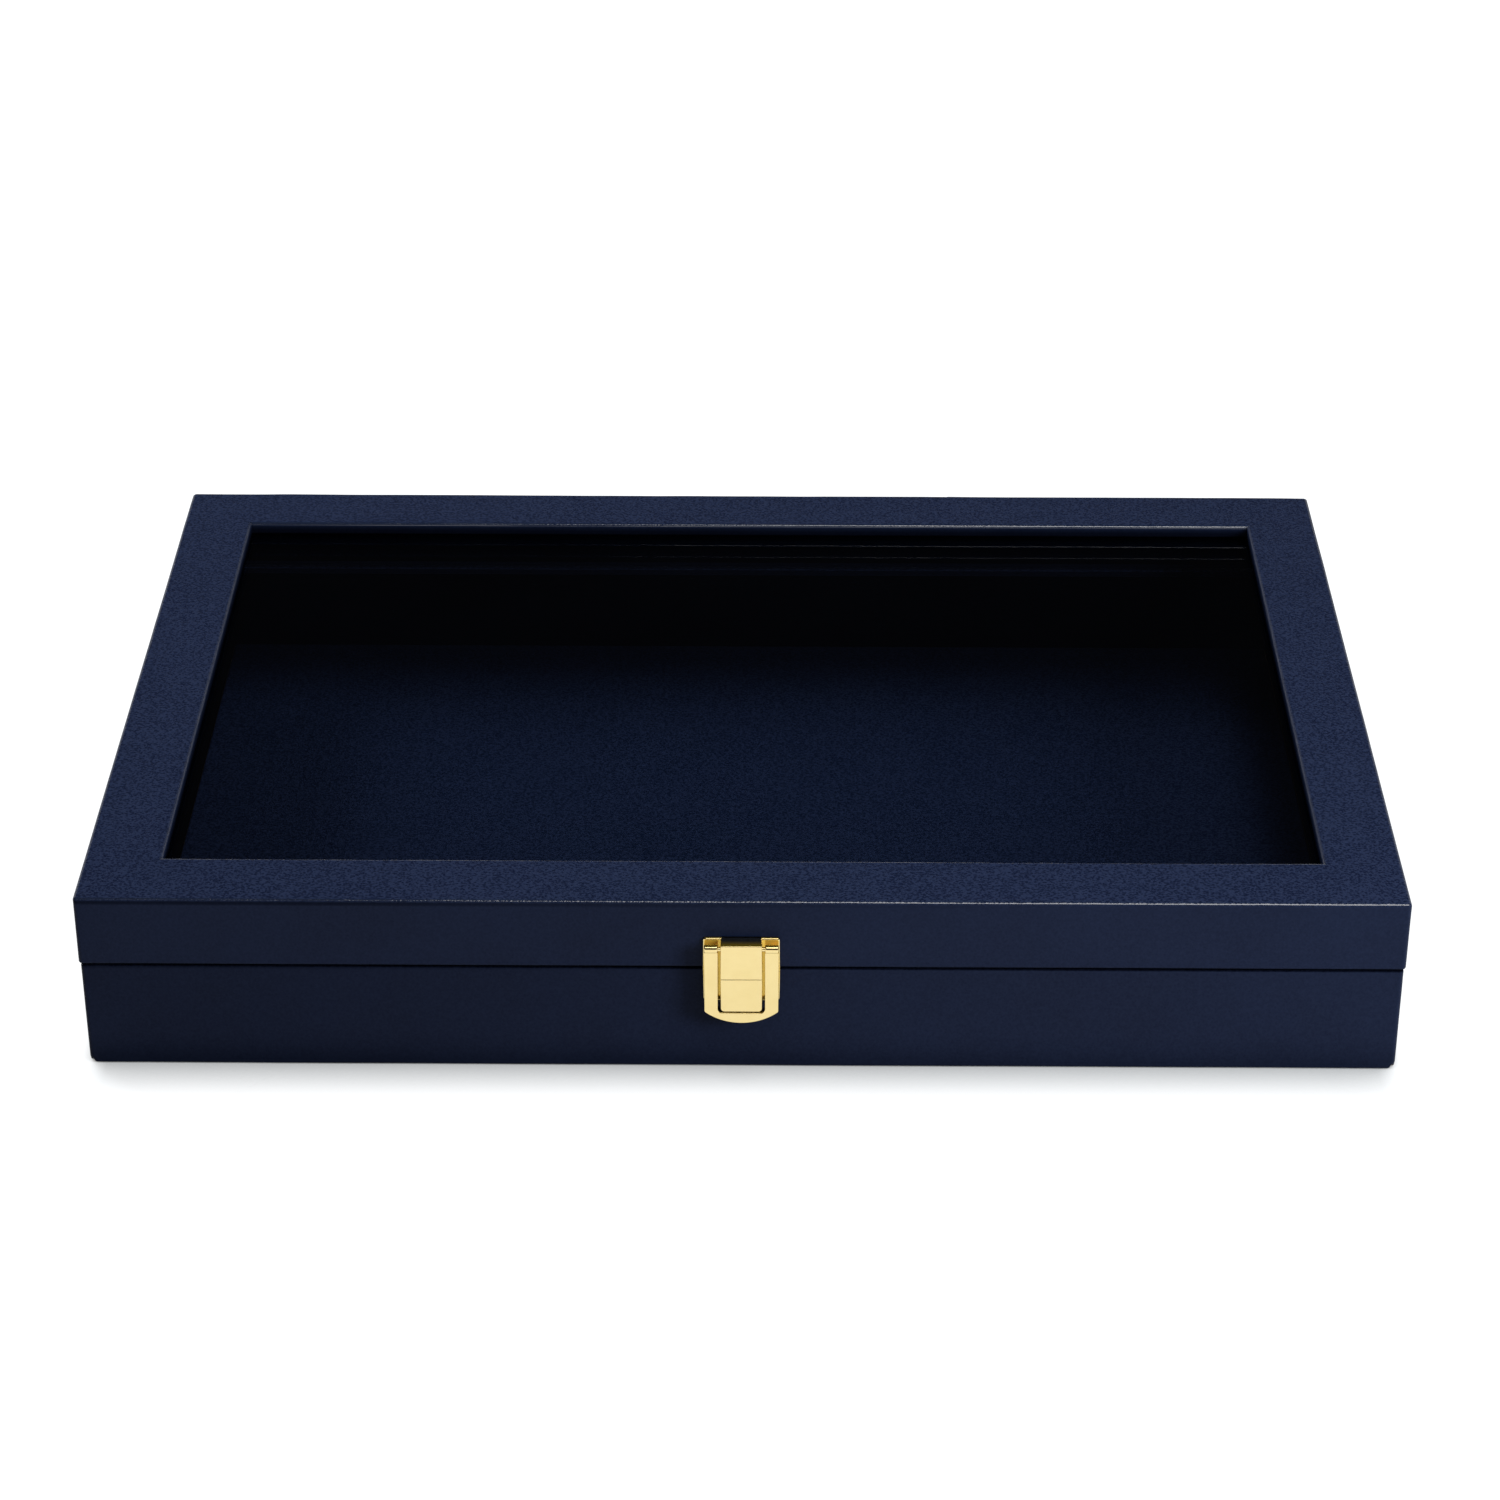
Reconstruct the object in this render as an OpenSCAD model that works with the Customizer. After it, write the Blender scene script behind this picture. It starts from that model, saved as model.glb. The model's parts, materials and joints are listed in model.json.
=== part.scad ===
// Display box: a shallow leatherette-covered case with a window lid, a front
// clasp and two rear stop hinges. All sizes are in millimetres.
// X runs to the right, Y to the back and Z up. The origin is the centre of the
// footprint, on the surface that the case stands on.

/* [Case] */
// Outer width of the lid
case_w = 350; // [280:5:450]
// Outer depth of the lid
case_d = 240; // [160:5:320]
// Height of the closed case
case_h = 52; // [49:1:70]
// Height of the middle of the seam between base and lid
seam_z = 31.4; // [31:0.1:32]
// Gap between the rims of base and lid
seam_gap = 0.5; // [0.3:0.1:0.6]
// How far each side of the base sits in from the lid
base_inset = 0.4; // [0:0.1:0.5]
// Radius of the upright corners
corner_r = 1.2; // [1:0.1:2]
// Radius of the covered edges at top and bottom and round the window
edge_r = 0.9; // [0.7:0.1:1.2]
// Radius of the covered edges along the seam
rim_r = 0.6; // [0.5:0.1:0.9]

/* [Boards] */
// Thickness of the wall boards of the base and the rails of the lid
wall_t = 9; // [8:0.5:12]
// Thickness of the bottom board
bottom_t = 2.4; // [2:0.2:4]
// Thickness of the lid's top board
top_t = 2.8; // [2.4:0.2:4]
// Thickness of the floor pad
pad_t = 1; // [0.6:0.2:3]

/* [Covering] */
// Thickness of the leatherette
skin_t = 0.6; // [0.5:0.1:0.6]
// Thickness of the wall linings
lining_t = 0.8; // [0.6:0.1:1.2]
// How far the wall linings stop short of the rims
lining_setback = 2; // [1:0.5:5]
// Width of the leatherette turned in under the bottom
bottom_turn_in = 14; // [12:1:20]
// Width of the leatherette turned in under the edge of the window
window_turn_in = 8; // [5:0.5:9]
// Thickness of the underside sheet where it covers the turned-in leatherette
sheet_t = 0.4; // [0.3:0.1:0.6]
// How far the underside sheet stops short of the sides
sheet_margin = 3.5; // [2:0.5:8]

/* [Window] */
// Width of the lid's frame round the window
window_margin = 20.9; // [20:0.1:30]
// Thickness of the clear pane
pane_t = 2; // [1.5:0.5:3]
// Gap between the pane's edge and the rails
pane_gap = 0.5; // [0.3:0.1:1]
// Thickness of the beads that hold the pane up
bead_t = 1.6; // [1:0.2:3]
// How far the beads stay back from the edge of the window
bead_setback = 0.8; // [0.4:0.1:2]

/* [Clasp] */
// Width of the two plates
plate_w = 20.3; // [19.6:0.1:24]
// Thickness of the two plates
plate_t = 1; // [0.8:0.1:1.2]
// Top of the hinge plate
hinge_plate_top = 41.3; // [41:0.1:42.8]
// Bottom of the catch plate
catch_plate_bottom = 21.5; // [21.1:0.1:22.9]
// Height of the split between the two plates, below the seam
plate_split_z = 30.9; // [30.6:0.1:31]
// Width of the block on each plate
block_w = 10.9; // [9:0.1:11.2]
// Front of the blocks and the flap, measured from the front of the lid
clasp_d = 4.9; // [4.7:0.1:5.5]
// Width of the flap
flap_w = 19.6; // [18.6:0.1:20]
// Width of the opening in the flap
flap_slot_w = 12.4; // [12:0.1:13]
// Thickness of the flap
flap_t = 2.2; // [1.8:0.1:2.3]
// Lowest point of the flap's curved edge
flap_bottom = 17.2; // [15.9:0.1:17.9]
// Height at which the flap's curved edge meets its straight sides
flap_corner_z = 20.7; // [20.4:0.1:21.5]
// Bottom of the opening in the flap
flap_slot_z = 20.4; // [19.7:0.1:20.5]
// Height of the flap's pin
pin_z = 39.9; // [39.4:0.1:40]
// Radius of the flap's pin
pin_r = 0.6; // [0.5:0.05:0.7]
// Length of the nails
nail_len = 6; // [4:0.5:8]

/* [Hinges] */
// Distance of each rear hinge from the middle of the case
hinge_x = 115; // [60:1:118]
// Width of a hinge
hinge_w = 30; // [24:1:40]
// Height of each leaf above or below the hinge's axis
leaf_h = 13; // [11:0.5:14]
// Thickness of the leaves
leaf_t = 1.2; // [1:0.1:1.3]
// Outer radius of the knuckles
knuckle_r = 1.7; // [1.6:0.05:1.75]
// Radius of the hinge pins
hinge_pin_r = 0.8; // [0.7:0.05:0.9]
// Angle at which the lid is fully open
open_angle = 100; // [90:1:110]
// Length of the hinge screws
screw_len = 8; // [5:0.5:9]

/* [Hidden] */
$fn = 48;

// Colours
navy = [0.13, 0.16, 0.25];
dark_lining = [0.03, 0.04, 0.07];
board_tan = [0.62, 0.5, 0.36];
clear = [0.8, 0.85, 0.9, 0.35];
gold = [0.9, 0.76, 0.42];
sheet_black = [0.08, 0.08, 0.09];

// Levels of the base, from the bottom up
wrap_z = sheet_t;
bottom_z = wrap_z + skin_t;
floor_z = bottom_z + bottom_t;
pad_top = floor_z + pad_t;
base_top = seam_z - seam_gap / 2;
base_board_top = base_top - skin_t;
base_lining_top = base_top - lining_setback;

// Levels of the lid
lid_z = seam_z + seam_gap / 2;
rail_z = lid_z + skin_t;
top_board_top = case_h - skin_t;
top_board_z = top_board_top - top_t;
pane_top = top_board_z - skin_t;
pane_z = pane_top - pane_t;
bead_z = pane_z - bead_t;
lid_lining_z = lid_z + lining_setback;

// Plan sizes, each a width and a depth. A core is the size over the boards,
// a room is the size between the covered walls, inside which the linings stand.
lid_plan = [case_w, case_d];
base_plan = lid_plan - 2 * [base_inset, base_inset];
lid_core = lid_plan - 2 * [skin_t, skin_t];
base_core = base_plan - 2 * [skin_t, skin_t];
wall = [wall_t, wall_t];
lining = [lining_t, lining_t];
wall_and_skins = wall_t + 2 * skin_t;
lid_room = lid_plan - 2 * [wall_and_skins, wall_and_skins];
base_room = base_plan - 2 * [wall_and_skins, wall_and_skins];
window = lid_plan - 2 * [window_margin, window_margin];
board_window = window + 2 * [skin_t, skin_t];
pane = lid_core - 2 * [wall_t + pane_gap, wall_t + pane_gap];
bead = (lid_room - window) / 2 - [bead_setback, bead_setback];
pad_clearance = 0.1;
pad = base_room - 2 * [lining_t + pad_clearance, lining_t + pad_clearance];
sheet = base_plan - 2 * [sheet_margin, sheet_margin];
sheet_clearance = 0.2;
raised_sheet = base_plan - 2 * [bottom_turn_in + sheet_clearance, bottom_turn_in + sheet_clearance];

// Cuts and sweeps run this far past what they have to reach
over = 1;
sweep_reach = 35;

// Clasp. Distances forward are measured from the front of the lid.
front_y = -case_d / 2;
plate_corner_r = 0.8;
split_gap = 0.15;
hinge_plate_z = plate_split_z + split_gap / 2;
catch_plate_top = plate_split_z - split_gap / 2;
catch_drop = 0.7;
catch_block_z = catch_plate_bottom - catch_drop;
block_corner_r = 1;
block_edge_r = 0.2;
block_top = hinge_plate_top - 0.1;
block_top_r = 0.5;
barrel_r = 1.15;
barrel_proud = 0.2;
pin_forward = clasp_d + barrel_proud - barrel_r;
pin_clearance = 0.05;
flap_drop = flap_corner_z - flap_bottom;
flap_edge_r = (pow(flap_w / 2, 2) + pow(flap_drop, 2)) / (2 * flap_drop);
flap_slot_r = 1.2;
flap_front_r = 0.6;
nail_x = (plate_w + block_w) / 4;
lid_nail_z = 35.3;
base_nail_z = 26.4;
nail_r = 0.5;
nail_head_r = 1;
nail_head_t = 0.5;

// Rear hinges. A section is drawn round the hinge axis, with the distance
// backward along X and the height along Y.
back_y = case_d / 2;
axis_gap = 1.8;
axis_y = back_y + axis_gap;
knuckle_count = 5;
knuckle_w = hinge_w / knuckle_count;
knuckle_gap = 0.15;
knuckle_clearance = 0.3;
leaf_start = 2;
leaf_corner_r = 1.5;
hinge_pin_clearance = 0.05;
stop_w = 16;
stop_r = knuckle_r + knuckle_clearance;
stop_t = 1;
stop_len = 4;
stop_margin = 2;
stop_angle = (open_angle + stop_margin) / 2;
stop_root_angle = 118;
screw_x = 10;
screw_h = 9;
screw_r = 1.1;
screw_head_r = 2.1;
screw_head_t = 1;
slot_w = 0.5;
slot_depth = 0.4;

// Plan rectangle with round corners, given by its low and high corners
module soft_rect(low, high, r) {
    translate([low.x + r, low.y]) square([high.x - low.x - 2 * r, high.y - low.y]);
    translate([low.x, low.y + r]) square([high.x - low.x, high.y - low.y - 2 * r]);
    for (x = [low.x + r, high.x - r], y = [low.y + r, high.y - r])
        translate([x, y]) circle(r);
}

// Flat plate of a plan size, centred on the origin
module slab(plan, z0, z1) {
    translate([-plan.x / 2, -plan.y / 2, z0]) cube([plan.x, plan.y, z1 - z0]);
}

// Upright prism with round corners that trims the mitred corners of a wrap
module corner_trim(plan) {
    translate([0, 0, -over]) linear_extrude(case_h + 2 * over)
        soft_rect(-plan / 2, plan / 2, corner_r);
}

// Sweeps a cross-section round a plan rectangle, with mitred corners. In the
// section, X is the distance outward from the rectangle's side and Y is height.
module swept_round(plan) {
    for (turn = [0:3]) {
        near = turn % 2 == 0 ? plan.x / 2 : plan.y / 2;
        side = turn % 2 == 0 ? plan.y / 2 : plan.x / 2;
        rotate([0, 0, 90 * turn]) intersection() {
            translate([near, 0, 0]) rotate([90, 0, 0])
                linear_extrude(2 * (side + sweep_reach), center = true) children();
            translate([0, 0, -over]) linear_extrude(case_h + 2 * over)
                polygon([
                    [near - sweep_reach, sweep_reach - side], [near + sweep_reach, -side - sweep_reach],
                    [near + sweep_reach, side + sweep_reach], [near - sweep_reach, side - sweep_reach]
                ]);
        }
    }
}

// One board of a rectangular frame. The front and back boards run the full
// width, and the left and right ones stand between them.
module frame_board(plan, thickness, z0, z1, side) {
    across = side == "front" || side == "back";
    far = side == "back" || side == "right" ? 1 : 0;
    size = across ? [plan.x, thickness.y] : [thickness.x, plan.y - 2 * thickness.y];
    start = across
        ? [-plan.x / 2, far * (plan.y - thickness.y) - plan.y / 2]
        : [far * (plan.x - thickness.x) - plan.x / 2, thickness.y - plan.y / 2];
    translate([start.x, start.y, z0]) cube([size.x, size.y, z1 - z0]);
}

// Extrudes an outline, drawn as seen from the front, between two distances
// forward of the lid's front face
module forward(from, to) {
    translate([0, front_y - from, 0]) rotate([90, 0, 0]) linear_extrude(to - from) children();
}

// Extrudes a section along X. In the section, X points backward and Y points up.
module along_x(from, to) {
    translate([from, 0, 0]) rotate([90, 0, 90]) linear_extrude(to - from) children();
}

// Round bar along X at a distance forward and a height
module clasp_bar(r, half_len) {
    translate([-half_len, front_y - pin_forward, pin_z]) rotate([0, 90, 0]) cylinder(r = r, h = 2 * half_len);
}

module base_board(side) {
    color(board_tan) frame_board(base_core, wall, floor_z, base_board_top, side);
}

module lid_rail(side) {
    color(board_tan) frame_board(lid_core, wall, rail_z, top_board_z, side);
}

module base_lining(side) {
    color(dark_lining) frame_board(base_room, lining, floor_z, base_lining_top, side);
}

module lid_lining(side) {
    color(dark_lining) frame_board(lid_room, lining, lid_lining_z, bead_z, side);
}

module pane_bead(side) {
    color(dark_lining) frame_board(lid_room, bead, bead_z, pane_z, side);
}

module base_bottom_board() {
    color(board_tan) slab(base_core, bottom_z, floor_z);
}

module base_front_board() {
    difference() {
        base_board("front");
        nail_shanks(base_nail_z, -base_inset);
    }
}

module base_back_board() {
    difference() {
        base_board("back");
        screw_shanks(-screw_h, base_inset);
    }
}

// Section of the base's leatherette, drawn outward from the base's side: down
// the outside, over the rim and down the inside, and turned in under the bottom
module base_wrap_section() {
    difference() {
        union() {
            soft_rect([-wall_and_skins, wrap_z], [0, base_top - 2 * rim_r], edge_r);
            soft_rect([-wall_and_skins, wrap_z + 2 * edge_r], [0, base_top], rim_r);
            translate([-bottom_turn_in, wrap_z]) square([bottom_turn_in - edge_r, skin_t]);
        }
        translate([-wall_t - skin_t, bottom_z]) square([wall_t, base_board_top - bottom_z]);
        translate([-bottom_turn_in - over, bottom_z]) square([bottom_turn_in + over - skin_t, bottom_t]);
    }
}

module base_wrap() {
    color(navy) difference() {
        intersection() {
            swept_round(base_plan) base_wrap_section();
            corner_trim(base_plan);
        }
        nail_shanks(base_nail_z, -base_inset);
        screw_shanks(-screw_h, base_inset);
    }
}

module base_floor_pad() {
    color(navy) slab(pad, floor_z, pad_top);
}

// The sheet covers the turned-in leatherette and fills the space inside it
module underside_sheet() {
    color(sheet_black) union() {
        slab(sheet, 0, wrap_z);
        slab(raised_sheet, 0, bottom_z);
    }
}

module lid_front_rail() {
    difference() {
        lid_rail("front");
        nail_shanks(lid_nail_z, 0);
    }
}

module lid_back_rail() {
    difference() {
        lid_rail("back");
        screw_shanks(screw_h, 0);
    }
}

module lid_top_board() {
    color(board_tan) difference() {
        slab(lid_core, top_board_z, top_board_top);
        slab(board_window, top_board_z - over, top_board_top + over);
    }
}

// Section of the lid's leatherette, drawn outward from the lid's side. It is
// the covered outline of rail and top board, less the boards themselves and
// the bare corner above the beads.
module lid_wrap_section() {
    board = window_margin - skin_t;
    bare = wall_t + skin_t;
    difference() {
        union() {
            soft_rect([-wall_and_skins, lid_z], [0, case_h - 2 * edge_r], rim_r);
            soft_rect([-window_margin, pane_top], [0, case_h], edge_r);
        }
        translate([-bare, rail_z]) square([wall_t, top_board_top - rail_z]);
        translate([-board, top_board_z]) square([board - skin_t, top_t]);
        translate([window_turn_in - window_margin, pane_z])
            square([window_margin - window_turn_in - bare, top_board_z - pane_z]);
    }
}

module lid_wrap() {
    color(navy) difference() {
        intersection() {
            swept_round(lid_plan) lid_wrap_section();
            corner_trim(lid_plan);
        }
        nail_shanks(lid_nail_z, 0);
        screw_shanks(screw_h, 0);
    }
}

module window_pane() {
    color(clear) slab(pane, pane_z, pane_top);
}

// Block on a clasp plate, the common part of its front and side outlines
module clasp_block(z0, z1, low_r, top_r) {
    intersection() {
        forward(0, clasp_d) union() {
            soft_rect([-block_w / 2, z0], [block_w / 2, z1], low_r);
            translate([-block_w / 2, z0 + low_r]) square([block_w, z1 - z0 - low_r]);
        }
        translate([0, front_y, 0]) along_x(-block_w / 2, block_w / 2) union() {
            soft_rect([-clasp_d, z0], [0, z1], top_r);
            translate([-clasp_d + block_edge_r, z0]) square([clasp_d - block_edge_r, z1 - z0 - top_r]);
            translate([-clasp_d + top_r, z0]) square([clasp_d - top_r, z1 - z0]);
        }
    }
}

module clasp_hinge_plate() {
    color(gold) difference() {
        union() {
            forward(0, plate_t)
                soft_rect([-plate_w / 2, hinge_plate_z], [plate_w / 2, hinge_plate_top], plate_corner_r);
            clasp_block(hinge_plate_z, block_top, block_edge_r, block_top_r);
        }
        clasp_bar(pin_r, block_w);
        nail_shanks(lid_nail_z, 0);
    }
}

module clasp_catch_plate() {
    color(gold) difference() {
        union() {
            forward(-base_inset, plate_t - base_inset)
                soft_rect([-plate_w / 2, catch_plate_bottom], [plate_w / 2, catch_plate_top], plate_corner_r);
            clasp_block(catch_block_z, catch_plate_top, block_corner_r, block_edge_r);
        }
        nail_shanks(base_nail_z, -base_inset);
    }
}

// The flap hangs from its pin on two barrels and closes under the catch block
module clasp_flap() {
    color(gold) difference() {
        union() {
            intersection() {
                forward(clasp_d - flap_t, clasp_d) intersection() {
                    translate([-flap_w / 2, flap_bottom]) square([flap_w, pin_z - flap_bottom]);
                    translate([0, flap_bottom + flap_edge_r]) circle(flap_edge_r, $fn = 96);
                }
                translate([0, front_y, 0]) along_x(-flap_w / 2, flap_w / 2)
                    soft_rect([-clasp_d, flap_bottom], [flap_t, pin_z + flap_t], flap_front_r);
            }
            clasp_bar(barrel_r, flap_w / 2);
        }
        forward(0, clasp_d + over)
            soft_rect([-flap_slot_w / 2, flap_slot_z], [flap_slot_w / 2, hinge_plate_top + 2 * over], flap_slot_r);
        clasp_bar(pin_r + pin_clearance, flap_w);
    }
}

module clasp_pin() {
    color(gold) clasp_bar(pin_r, flap_w / 2);
}

// Shanks of the two nails of a plate, whose back is a distance forward
module nail_shanks(z, back) {
    for (x = [-nail_x, nail_x])
        translate([x, front_y - back - plate_t, z]) rotate([-90, 0, 0]) cylinder(r = nail_r, h = nail_len);
}

module nails(z, back) {
    nail_shanks(z, back);
    for (x = [-nail_x, nail_x])
        translate([x, front_y - back - plate_t, z]) rotate([90, 0, 0])
            cylinder(r1 = nail_head_r, r2 = nail_r, h = nail_head_t);
}

module clasp_lid_nails() {
    color(gold) nails(lid_nail_z, 0);
}

module clasp_base_nails() {
    color(gold) nails(base_nail_z, -base_inset);
}

// Knuckles of one leaf, with the strip that joins each to the leaf. The leaf
// lies a distance ahead of the hinge axis and goes up, or down where way is -1.
module knuckles(first, ahead, way, bore_r) {
    for (i = [first:2:knuckle_count - 1])
        along_x(knuckle_w * i - hinge_w / 2 + knuckle_gap, knuckle_w * (i + 1) - hinge_w / 2 - knuckle_gap)
            difference() {
                union() {
                    circle(knuckle_r);
                    translate([-ahead, way > 0 ? 0 : -leaf_start]) square([leaf_t, leaf_start]);
                }
                circle(bore_r);
            }
}

// Half of the stop: a hood round the knuckles that ends in a flange. The two
// flanges meet just past the angle at which the lid is fully open.
module stop_section() {
    reach = 2 * (stop_r + stop_t);
    middle = (stop_angle + stop_root_angle) / 2;
    intersection() {
        difference() {
            circle(stop_r + stop_t);
            circle(stop_r);
        }
        polygon([
            [0, 0], reach * [cos(stop_angle), sin(stop_angle)],
            reach * [cos(middle), sin(middle)], reach * [cos(stop_root_angle), sin(stop_root_angle)]
        ]);
    }
    rotate(stop_angle) translate([stop_r, 0]) square([stop_len, stop_t]);
}

// Leaf of a rear hinge, round its own axis, with countersunk screw holes
module hinge_leaf(first, ahead, way, bore_r) {
    difference() {
        union() {
            along_x(-stop_w / 2, stop_w / 2) mirror([0, way > 0 ? 0 : 1]) stop_section();
            translate([0, leaf_t - ahead, 0]) rotate([90, 0, 0]) linear_extrude(leaf_t)
                mirror([0, way > 0 ? 0 : 1])
                    soft_rect([-hinge_w / 2, leaf_start], [hinge_w / 2, leaf_h], leaf_corner_r);
            leaf_root(ahead, way);
            knuckles(first, ahead, way, bore_r);
        }
        for (x = [-screw_x, screw_x]) translate([x, leaf_t - ahead, way * screw_h]) screw_body();
    }
}

// Square-cornered strip along the leaf's knuckle edge
module leaf_root(ahead, way) {
    along_x(-hinge_w / 2, hinge_w / 2)
        translate([-ahead, way > 0 ? leaf_start : -leaf_start - leaf_corner_r]) square([leaf_t, leaf_corner_r]);
}

// Countersunk screw that points forward, its head flush with the origin
module screw_body() {
    rotate([90, 0, 0]) cylinder(r = screw_r, h = screw_len);
    rotate([90, 0, 0]) cylinder(r1 = screw_head_r, r2 = screw_r, h = screw_head_t);
}

// Places its children at the screws of the leaves that lie a distance above
// the hinge axis, flush with the leaf's outer face
module at_screws(height, inset) {
    for (side = [-1, 1], x = [-screw_x, screw_x])
        translate([side * hinge_x + x, back_y - inset + leaf_t, seam_z + height]) children();
}

module screw_shanks(height, inset) {
    at_screws(height, inset) rotate([90, 0, 0]) cylinder(r = screw_r, h = screw_len);
}

module screws(height, inset) {
    at_screws(height, inset) difference() {
        screw_body();
        translate([-screw_head_r - over, -slot_depth, -slot_w / 2])
            cube([2 * (screw_head_r + over), slot_depth + over, slot_w]);
    }
}

module hinge_lid_screws() {
    color(gold) screws(screw_h, 0);
}

module hinge_base_screws() {
    color(gold) screws(-screw_h, base_inset);
}

// The lid leaf has the even knuckles and turns on the pin
module hinge_lid_leaf(side) {
    color(gold) translate([side * hinge_x, axis_y, seam_z])
        hinge_leaf(1, axis_gap, 1, hinge_pin_r + hinge_pin_clearance);
}

// The base leaf has the odd knuckles and holds the pin tight
module hinge_base_leaf(side) {
    color(gold) translate([side * hinge_x, axis_y, seam_z])
        hinge_leaf(0, axis_gap + base_inset, -1, hinge_pin_r);
}

module hinge_pin(side) {
    color(gold) translate([side * hinge_x - hinge_w / 2, axis_y, seam_z])
        rotate([0, 90, 0]) cylinder(r = hinge_pin_r, h = hinge_w);
}

base_bottom_board();
base_front_board();
base_back_board();
base_board("left");  // base_left_board
base_board("right");  // base_right_board
base_wrap();
base_floor_pad();
underside_sheet();
base_lining("front");  // base_front_lining
base_lining("back");  // base_back_lining
base_lining("left");  // base_left_lining
base_lining("right");  // base_right_lining
lid_top_board();
lid_front_rail();
lid_back_rail();
lid_rail("left");  // lid_left_rail
lid_rail("right");  // lid_right_rail
lid_wrap();
window_pane();
pane_bead("front");  // pane_front_bead
pane_bead("back");  // pane_back_bead
pane_bead("left");  // pane_left_bead
pane_bead("right");  // pane_right_bead
lid_lining("front");  // lid_front_lining
lid_lining("back");  // lid_back_lining
lid_lining("left");  // lid_left_lining
lid_lining("right");  // lid_right_lining
clasp_hinge_plate();
clasp_catch_plate();
clasp_flap();
clasp_pin();
clasp_lid_nails();
clasp_base_nails();
hinge_lid_leaf(-1);  // left_hinge_lid_leaf
hinge_base_leaf(-1);  // left_hinge_base_leaf
hinge_pin(-1);  // left_hinge_pin
hinge_lid_leaf(1);  // right_hinge_lid_leaf
hinge_base_leaf(1);  // right_hinge_base_leaf
hinge_pin(1);  // right_hinge_pin
hinge_lid_screws();
hinge_base_screws();
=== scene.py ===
"""Looks of a leatherette-covered display box with a window lid, a clasp and two rear hinges.

Distances are in metres, in the frame of the CAD model: X to the right, Y to the back, Z up.
Named lengths that end in _MM are in millimetres.
"""

import json
import math

import bmesh
import bpy
from mathutils import Matrix, Vector, noise

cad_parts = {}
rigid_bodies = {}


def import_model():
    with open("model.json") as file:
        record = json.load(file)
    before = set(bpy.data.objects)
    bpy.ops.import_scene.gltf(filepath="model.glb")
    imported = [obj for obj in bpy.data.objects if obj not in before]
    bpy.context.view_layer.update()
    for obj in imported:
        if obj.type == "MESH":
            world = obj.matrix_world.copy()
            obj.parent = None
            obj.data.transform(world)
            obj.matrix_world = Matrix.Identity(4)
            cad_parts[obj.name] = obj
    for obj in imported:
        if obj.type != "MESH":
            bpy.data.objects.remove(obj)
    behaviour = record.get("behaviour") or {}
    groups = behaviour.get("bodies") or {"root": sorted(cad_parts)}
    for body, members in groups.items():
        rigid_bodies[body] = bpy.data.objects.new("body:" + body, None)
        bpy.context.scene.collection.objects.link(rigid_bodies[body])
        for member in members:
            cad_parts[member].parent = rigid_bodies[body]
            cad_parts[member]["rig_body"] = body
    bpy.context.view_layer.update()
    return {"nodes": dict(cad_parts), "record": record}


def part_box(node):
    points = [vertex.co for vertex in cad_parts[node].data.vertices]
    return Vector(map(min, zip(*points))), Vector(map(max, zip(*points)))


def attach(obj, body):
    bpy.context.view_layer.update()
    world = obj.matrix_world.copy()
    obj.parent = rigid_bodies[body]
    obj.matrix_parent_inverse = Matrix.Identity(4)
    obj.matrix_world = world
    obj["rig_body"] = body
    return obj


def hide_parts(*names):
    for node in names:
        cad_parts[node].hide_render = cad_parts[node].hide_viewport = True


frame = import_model()
scene = bpy.context.scene
MM = 0.001
SIDES = ("front", "back", "left", "right")

# Camera, solved from the corners of the case. Its turns are in degrees.
LENS_MM = 93.466
SENSOR_MM = 36
CAMERA_PLACE = Vector((0.00964, -0.98039, 0.59360))
CAMERA_YAW = -0.4934
CAMERA_PITCH = 29.953
CAMERA_ROLL = 0.0084
NEAR_CLIP = 0.05
FAR_CLIP = 100

# Leatherette coverings. These repeat sizes of the CAD source, except for the two smallest radii.
SKIN_MM = 0.6
WALL_MM = 9
EDGE_R_MM = 0.9
RIM_R_MM = 0.6
CORNER_R_MM = 1.2
INNER_CORNER_R_MM = 0.3
BOARD_EDGE_R_MM = 0.25
WINDOW_MARGIN_MM = 20.9
WINDOW_TURN_IN_MM = 8
BOTTOM_TURN_IN_MM = 14
BOTTOM_BOARD_MM = 2.4
TOP_BOARD_MM = 2.8
PANE_MM = 2

# Clasp. Depths are measured forward from the lid's front. All but BLOCK_TOP_MM repeat the CAD source.
BASE_INSET_MM = 0.4
PLATE_HALF_MM = 10.15
PLATE_MM = 1.0
PLATE_CORNER_R_MM = 0.8
HINGE_PLATE_TOP_MM = 41.3
CATCH_PLATE_BOTTOM_MM = 21.5
SPLIT_LOW_MM = 30.825
SPLIT_HIGH_MM = 30.975
BLOCK_HALF_MM = 5.45
BLOCK_TOP_MM = 41.3
BLOCK_BOTTOM_MM = 20.8
CLASP_DEPTH_MM = 4.9
FLAP_HALF_MM = 9.8
FLAP_MM = 2.2
FLAP_BOTTOM_MM = 17.2
FLAP_CORNER_Z_MM = 20.7
SLOT_HALF_MM = 6.2
SLOT_BOTTOM_MM = 20.4
SLOT_CORNER_R_MM = 1.2
PIN_Z_MM = 39.9
PIN_FORWARD_MM = 3.95
BARREL_R_MM = 1.15
BORE_R_MM = 0.65

# Mesh spacing of the coverings and the floor board
SIDE_STEP_MM = 4
END_STEPS_MM = (0.3, 0.7, 1.2, 1.8, 2.5, 3.4, 4.6, 6.2)
SECTION_STEP_MM = 4
SECTION_END_STEPS_MM = (0.2, 0.6, 1.1, 1.8)
FLOOR_STEP_MM = 5
FLOOR_END_STEPS_MM = (0.03, 0.1, 0.22, 0.4, 0.62, 1.0, 1.8, 3.2)
ARC_PARTS = 8
CORNER_PARTS = 8

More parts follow.
